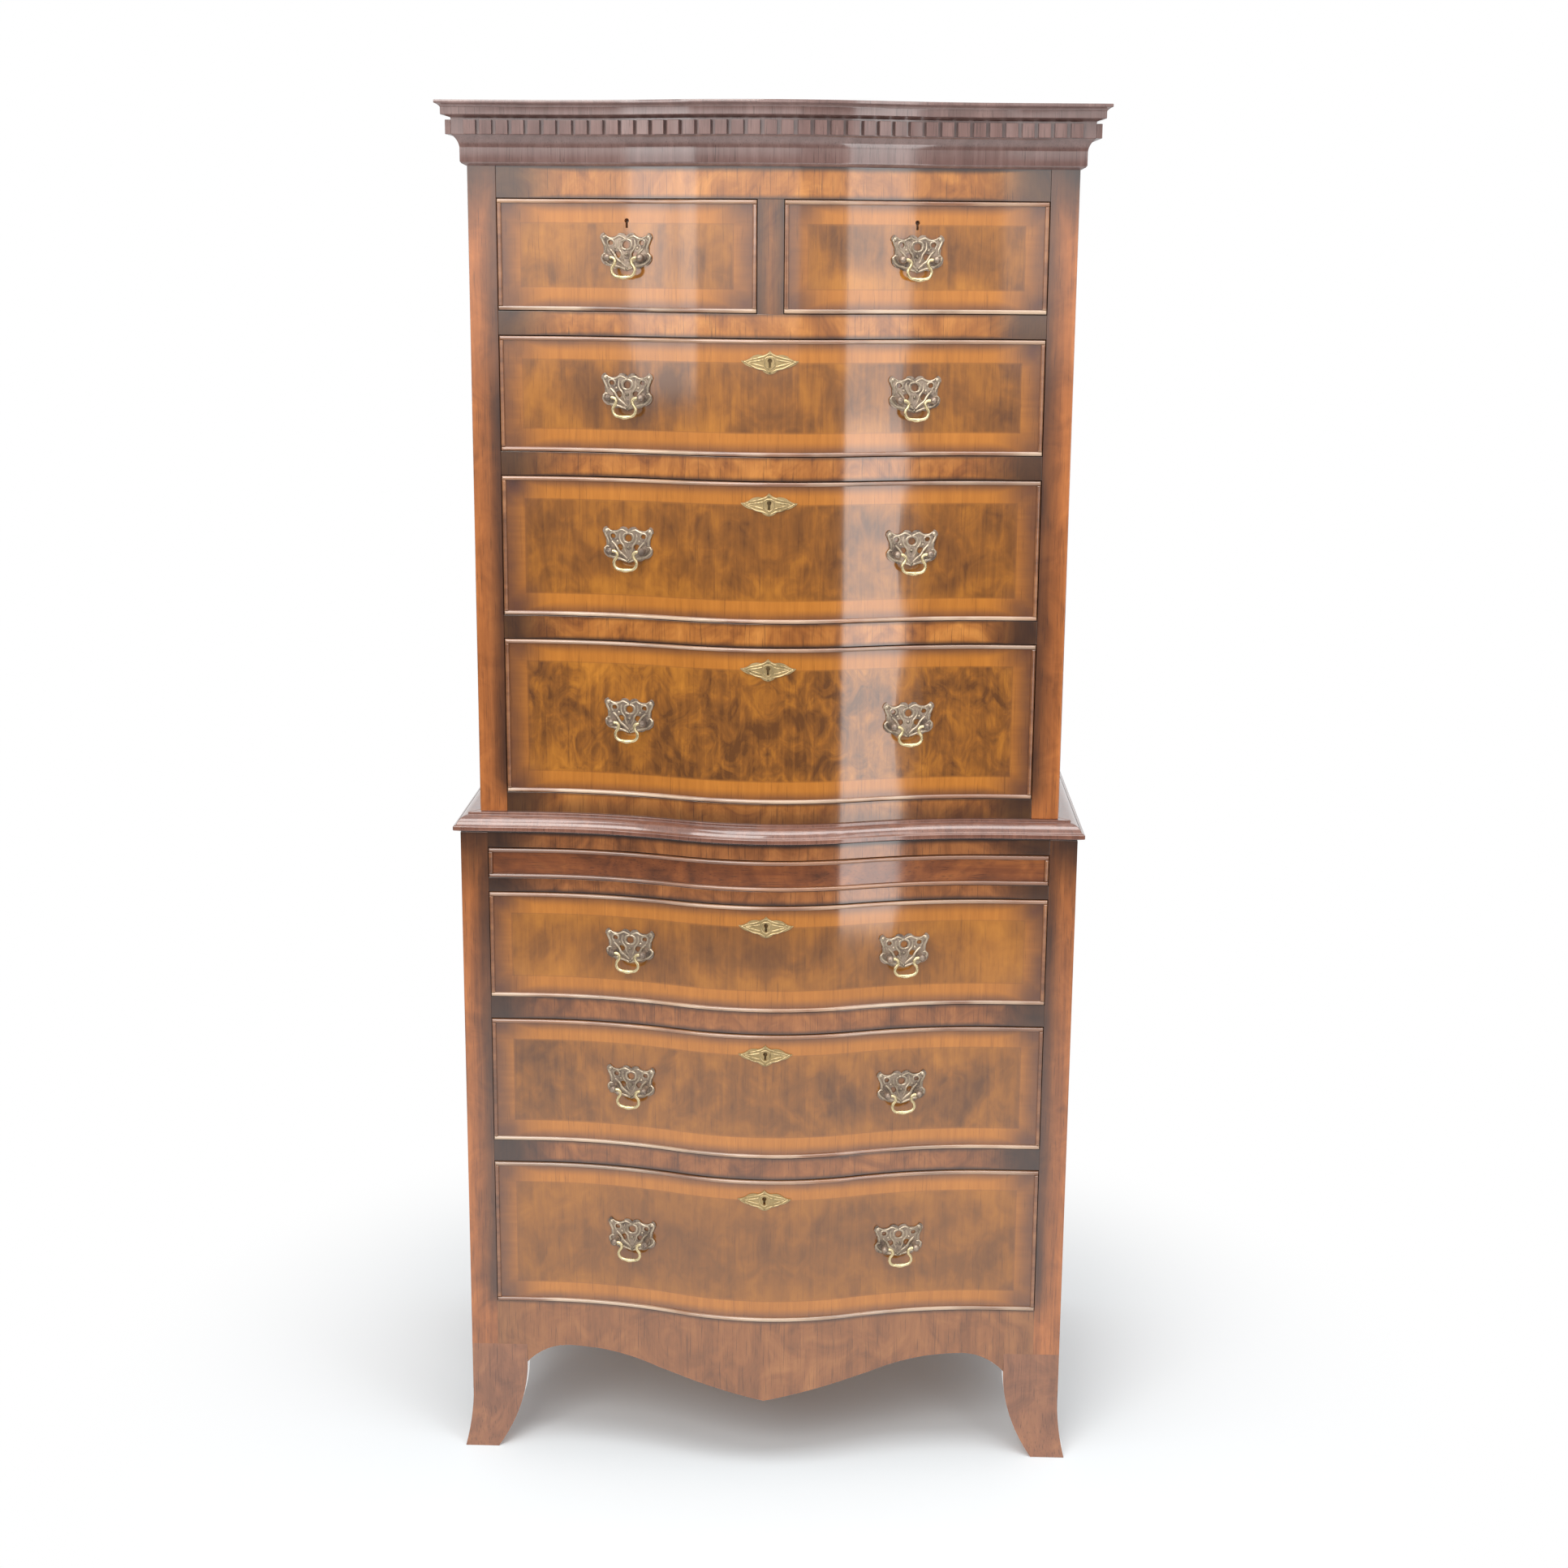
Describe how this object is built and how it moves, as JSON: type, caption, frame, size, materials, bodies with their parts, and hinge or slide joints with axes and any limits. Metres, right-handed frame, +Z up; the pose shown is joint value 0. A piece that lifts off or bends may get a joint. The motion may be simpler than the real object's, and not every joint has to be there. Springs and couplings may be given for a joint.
{
  "type": "chest on chest",
  "caption": "Tall serpentine-fronted chest on chest with a dentil cornice, cock-beaded drawers on runners, a brushing slide, swan-neck bail handles and splayed bracket feet.",
  "frame": {"origin": "on the floor under the middle of the whole piece", "axes": "+Z up, the front looks along -Y, +X to the right of someone who faces the front"},
  "size_m": [0.718, 0.4914, 1.56],
  "materials": {
    "veneered_wood": "polished figured veneer",
    "case_wood": "polished, reddish brown",
    "moulding_wood": "polished, dark brown",
    "lining_wood": "planed, unfinished",
    "secondary_wood": "planed, unfinished",
    "brass": "aged, hand-rubbed",
    "bolt_steel": "filed"
  },
  "bodies": {
    "case": {"lower_case_sides": "case_wood", "upper_case_sides": "case_wood", "case_boards": "secondary_wood", "back_panels": "secondary_wood", "upper_rails": "case_wood", "lower_rails": "case_wood", "drawer_partition": "case_wood", "drawer_runners": "secondary_wood", "cornice_moulding": "moulding_wood", "waist_moulding": "moulding_wood", "dentil_course": "moulding_wood", "apron": "veneered_wood", "bracket_feet": "case_wood"},
    "brushing_slide": {"brushing_slide": "case_wood"},
    "drawer_1_left": {"drawer_1_left_front": "veneered_wood", "drawer_1_left_box": "lining_wood", "drawer_1_left_brassware": "brass"},
    "drawer_1_left_bail": {"drawer_1_left_bail": "brass"},
    "drawer_1_left_lock_bolt": {"drawer_1_left_lock_bolt": "bolt_steel"},
    "drawer_1_right": {"drawer_1_right_front": "veneered_wood", "drawer_1_right_box": "lining_wood", "drawer_1_right_brassware": "brass"},
    "drawer_1_right_bail": {"drawer_1_right_bail": "brass"},
    "drawer_1_right_lock_bolt": {"drawer_1_right_lock_bolt": "bolt_steel"},
    "drawer_2": {"drawer_2_front": "veneered_wood", "drawer_2_box": "lining_wood", "drawer_2_brassware": "brass"},
    "drawer_2_bail_left": {"drawer_2_bail_left": "brass"},
    "drawer_2_bail_right": {"drawer_2_bail_right": "brass"},
    "drawer_2_lock_bolt": {"drawer_2_lock_bolt": "bolt_steel"},
    "drawer_3": {"drawer_3_front": "veneered_wood", "drawer_3_box": "lining_wood", "drawer_3_brassware": "brass"},
    "drawer_3_bail_left": {"drawer_3_bail_left": "brass"},
    "drawer_3_bail_right": {"drawer_3_bail_right": "brass"},
    "drawer_3_lock_bolt": {"drawer_3_lock_bolt": "bolt_steel"},
    "drawer_4": {"drawer_4_front": "veneered_wood", "drawer_4_box": "lining_wood", "drawer_4_brassware": "brass"},
    "drawer_4_bail_left": {"drawer_4_bail_left": "brass"},
    "drawer_4_bail_right": {"drawer_4_bail_right": "brass"},
    "drawer_4_lock_bolt": {"drawer_4_lock_bolt": "bolt_steel"},
    "drawer_5": {"drawer_5_front": "veneered_wood", "drawer_5_box": "lining_wood", "drawer_5_brassware": "brass"},
    "drawer_5_bail_left": {"drawer_5_bail_left": "brass"},
    "drawer_5_bail_right": {"drawer_5_bail_right": "brass"},
    "drawer_5_lock_bolt": {"drawer_5_lock_bolt": "bolt_steel"},
    "drawer_6": {"drawer_6_front": "veneered_wood", "drawer_6_box": "lining_wood", "drawer_6_brassware": "brass"},
    "drawer_6_bail_left": {"drawer_6_bail_left": "brass"},
    "drawer_6_bail_right": {"drawer_6_bail_right": "brass"},
    "drawer_6_lock_bolt": {"drawer_6_lock_bolt": "bolt_steel"},
    "drawer_7": {"drawer_7_front": "veneered_wood", "drawer_7_box": "lining_wood", "drawer_7_brassware": "brass"},
    "drawer_7_bail_left": {"drawer_7_bail_left": "brass"},
    "drawer_7_bail_right": {"drawer_7_bail_right": "brass"},
    "drawer_7_lock_bolt": {"drawer_7_lock_bolt": "bolt_steel"}
  },
  "joints": [
    {"name": "drawer_1_left_slide", "type": "slide", "parent": "case", "child": "drawer_1_left", "axis": [0, -1, 0], "range_m": [0, 0.3]},
    {"name": "drawer_1_right_slide", "type": "slide", "parent": "case", "child": "drawer_1_right", "axis": [0, -1, 0], "range_m": [0, 0.3]},
    {"name": "brushing_slide_pull", "type": "slide", "parent": "case", "child": "brushing_slide", "axis": [0, -1, 0], "range_m": [0, 0.24]},
    {"name": "drawer_2_slide", "type": "slide", "parent": "case", "child": "drawer_2", "axis": [0, -1, 0], "range_m": [0, 0.3]},
    {"name": "drawer_3_slide", "type": "slide", "parent": "case", "child": "drawer_3", "axis": [0, -1, 0], "range_m": [0, 0.3]},
    {"name": "drawer_4_slide", "type": "slide", "parent": "case", "child": "drawer_4", "axis": [0, -1, 0], "range_m": [0, 0.3]},
    {"name": "drawer_5_slide", "type": "slide", "parent": "case", "child": "drawer_5", "axis": [0, -1, 0], "range_m": [0, 0.3]},
    {"name": "drawer_6_slide", "type": "slide", "parent": "case", "child": "drawer_6", "axis": [0, -1, 0], "range_m": [0, 0.3]},
    {"name": "drawer_7_slide", "type": "slide", "parent": "case", "child": "drawer_7", "axis": [0, -1, 0], "range_m": [0, 0.3]},
    {"name": "drawer_1_left_bail_swing", "type": "hinge", "parent": "drawer_1_left", "child": "drawer_1_left_bail", "pos_m": [-0.15862, -0.19715, 1.3985], "axis": [-0.9766, 0.2149, 0], "range_deg": [-18, 150]},
    {"name": "drawer_1_right_bail_swing", "type": "hinge", "parent": "drawer_1_right", "child": "drawer_1_right_bail", "pos_m": [0.15862, -0.19715, 1.3985], "axis": [-0.9766, -0.2149, 0], "range_deg": [-18, 150]},
    {"name": "drawer_2_bail_left_swing", "type": "hinge", "parent": "drawer_2", "child": "drawer_2_bail_left", "pos_m": [-0.15862, -0.19715, 1.25], "axis": [-0.9766, 0.2149, 0], "range_deg": [-18, 150]},
    {"name": "drawer_2_bail_right_swing", "type": "hinge", "parent": "drawer_2", "child": "drawer_2_bail_right", "pos_m": [0.15862, -0.19715, 1.25], "axis": [-0.9766, -0.2149, 0], "range_deg": [-18, 150]},
    {"name": "drawer_3_bail_left_swing", "type": "hinge", "parent": "drawer_3", "child": "drawer_3_bail_left", "pos_m": [-0.15862, -0.19715, 1.083], "axis": [-0.9766, 0.2149, 0], "range_deg": [-18, 150]},
    {"name": "drawer_3_bail_right_swing", "type": "hinge", "parent": "drawer_3", "child": "drawer_3_bail_right", "pos_m": [0.15862, -0.19715, 1.083], "axis": [-0.9766, -0.2149, 0], "range_deg": [-18, 150]},
    {"name": "drawer_4_bail_left_swing", "type": "hinge", "parent": "drawer_4", "child": "drawer_4_bail_left", "pos_m": [-0.15862, -0.19715, 0.8905], "axis": [-0.9766, 0.2149, 0], "range_deg": [-18, 150]},
    {"name": "drawer_4_bail_right_swing", "type": "hinge", "parent": "drawer_4", "child": "drawer_4_bail_right", "pos_m": [0.15862, -0.19715, 0.8905], "axis": [-0.9766, -0.2149, 0], "range_deg": [-18, 150]},
    {"name": "drawer_5_bail_left_swing", "type": "hinge", "parent": "drawer_5", "child": "drawer_5_bail_left", "pos_m": [-0.15862, -0.20915, 0.625], "axis": [-0.9766, 0.2149, 0], "range_deg": [-18, 150]},
    {"name": "drawer_5_bail_right_swing", "type": "hinge", "parent": "drawer_5", "child": "drawer_5_bail_right", "pos_m": [0.15862, -0.20915, 0.625], "axis": [-0.9766, -0.2149, 0], "range_deg": [-18, 150]},
    {"name": "drawer_6_bail_left_swing", "type": "hinge", "parent": "drawer_6", "child": "drawer_6_bail_left", "pos_m": [-0.15862, -0.20915, 0.461], "axis": [-0.9766, 0.2149, 0], "range_deg": [-18, 150]},
    {"name": "drawer_6_bail_right_swing", "type": "hinge", "parent": "drawer_6", "child": "drawer_6_bail_right", "pos_m": [0.15862, -0.20915, 0.461], "axis": [-0.9766, -0.2149, 0], "range_deg": [-18, 150]},
    {"name": "drawer_7_bail_left_swing", "type": "hinge", "parent": "drawer_7", "child": "drawer_7_bail_left", "pos_m": [-0.15862, -0.20915, 0.2715], "axis": [-0.9766, 0.2149, 0], "range_deg": [-18, 150]},
    {"name": "drawer_7_bail_right_swing", "type": "hinge", "parent": "drawer_7", "child": "drawer_7_bail_right", "pos_m": [0.15862, -0.20915, 0.2715], "axis": [-0.9766, -0.2149, 0], "range_deg": [-18, 150]},
    {"name": "drawer_1_left_lock_bolt_throw", "type": "slide", "parent": "drawer_1_left", "child": "drawer_1_left_lock_bolt", "axis": [0, 0, 1], "range_m": [0, 0.006]},
    {"name": "drawer_1_right_lock_bolt_throw", "type": "slide", "parent": "drawer_1_right", "child": "drawer_1_right_lock_bolt", "axis": [0, 0, 1], "range_m": [0, 0.006]},
    {"name": "drawer_2_lock_bolt_throw", "type": "slide", "parent": "drawer_2", "child": "drawer_2_lock_bolt", "axis": [0, 0, 1], "range_m": [0, 0.006]},
    {"name": "drawer_3_lock_bolt_throw", "type": "slide", "parent": "drawer_3", "child": "drawer_3_lock_bolt", "axis": [0, 0, 1], "range_m": [0, 0.006]},
    {"name": "drawer_4_lock_bolt_throw", "type": "slide", "parent": "drawer_4", "child": "drawer_4_lock_bolt", "axis": [0, 0, 1], "range_m": [0, 0.006]},
    {"name": "drawer_5_lock_bolt_throw", "type": "slide", "parent": "drawer_5", "child": "drawer_5_lock_bolt", "axis": [0, 0, 1], "range_m": [0, 0.006]},
    {"name": "drawer_6_lock_bolt_throw", "type": "slide", "parent": "drawer_6", "child": "drawer_6_lock_bolt", "axis": [0, 0, 1], "range_m": [0, 0.006]},
    {"name": "drawer_7_lock_bolt_throw", "type": "slide", "parent": "drawer_7", "child": "drawer_7_lock_bolt", "axis": [0, 0, 1], "range_m": [0, 0.006]}
  ]
}
